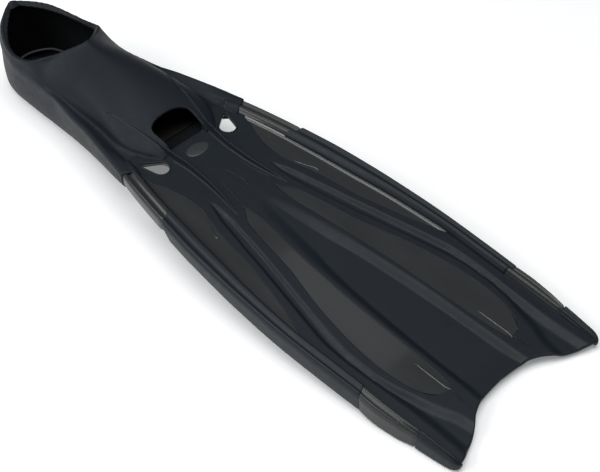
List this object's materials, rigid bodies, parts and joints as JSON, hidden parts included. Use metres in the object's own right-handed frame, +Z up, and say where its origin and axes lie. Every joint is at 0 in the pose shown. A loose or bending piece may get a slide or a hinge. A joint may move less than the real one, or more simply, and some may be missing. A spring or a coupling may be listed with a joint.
{
  "type": "swim fin",
  "caption": "Full-foot swim fin: rubber foot pocket with toe window and vents, hard plastic blade with rubber rails and soft channels, bending along its length.",
  "frame": {"origin": "middle of the fin's length and width, on the surface it lies on", "axes": "+X from the heel to the blade's tip, +Y to the wearer's left, +Z up out of the instep"},
  "size_m": [0.6451, 0.2032, 0.095],
  "materials": {
    "pocket_rubber": "satin moulded thermoplastic rubber, near-black navy",
    "channel_rubber": "satin moulded soft rubber membrane",
    "tread_rubber": "matt ribbed grip rubber",
    "hard_plastic": "glossy smoky brown-grey injection-moulded technopolymer"
  },
  "bodies": {
    "foot": {"foot_pocket": "pocket_rubber", "heel_tab": "pocket_rubber", "foot_bed": "tread_rubber", "sole_plate": "hard_plastic", "heel_tread": "tread_rubber", "ball_tread": "tread_rubber", "blade_root": "hard_plastic", "root_skin": "channel_rubber", "gate_pad": "hard_plastic", "strake_left": "pocket_rubber", "strake_right": "pocket_rubber", "outer_panel_left_root": "hard_plastic", "outer_panel_right_root": "hard_plastic", "rib_left_root": "hard_plastic", "rib_right_root": "hard_plastic", "rail_left_root": "pocket_rubber", "rail_right_root": "pocket_rubber"},
    "blade_mid": {"centre_channel_mid": "channel_rubber", "inner_panel_left_mid": "hard_plastic", "inner_panel_right_mid": "hard_plastic", "outer_panel_left_mid": "hard_plastic", "outer_panel_right_mid": "hard_plastic", "side_channel_left_mid": "channel_rubber", "side_channel_right_mid": "channel_rubber", "rib_left_mid": "hard_plastic", "rib_right_mid": "hard_plastic", "rail_left_mid": "pocket_rubber", "rail_right_mid": "pocket_rubber"},
    "blade_fore": {"centre_channel_fore": "channel_rubber", "inner_panel_left_fore": "hard_plastic", "inner_panel_right_fore": "hard_plastic", "outer_panel_left_fore": "hard_plastic", "outer_panel_right_fore": "hard_plastic", "side_channel_left_fore": "channel_rubber", "side_channel_right_fore": "channel_rubber", "rib_left_fore": "hard_plastic", "rib_right_fore": "hard_plastic", "rail_left_fore": "pocket_rubber", "rail_right_fore": "pocket_rubber"},
    "blade_tip": {"centre_channel_tip": "channel_rubber", "horn_left": "pocket_rubber", "horn_right": "pocket_rubber", "inner_panel_left_tip": "hard_plastic", "inner_panel_right_tip": "hard_plastic", "side_channel_left_tip": "channel_rubber", "side_channel_right_tip": "channel_rubber", "rib_left_tip": "hard_plastic", "rib_right_tip": "hard_plastic"}
  },
  "joints": [
    {"name": "bend_root", "type": "hinge", "parent": "foot", "child": "blade_mid", "pos_m": [0.0275, 0, 0.03455], "axis": [0, -1, 0], "range_deg": [-13, 13], "stiffness_Nm_per_rad": 30},
    {"name": "bend_middle", "type": "hinge", "parent": "blade_mid", "child": "blade_fore", "pos_m": [0.1245, 0, 0.02536], "axis": [0, -1, 0], "range_deg": [-13, 13], "stiffness_Nm_per_rad": 20},
    {"name": "bend_tip", "type": "hinge", "parent": "blade_fore", "child": "blade_tip", "pos_m": [0.2215, 0, 0.01617], "axis": [0, -1, 0], "range_deg": [-13, 13], "stiffness_Nm_per_rad": 10}
  ]
}
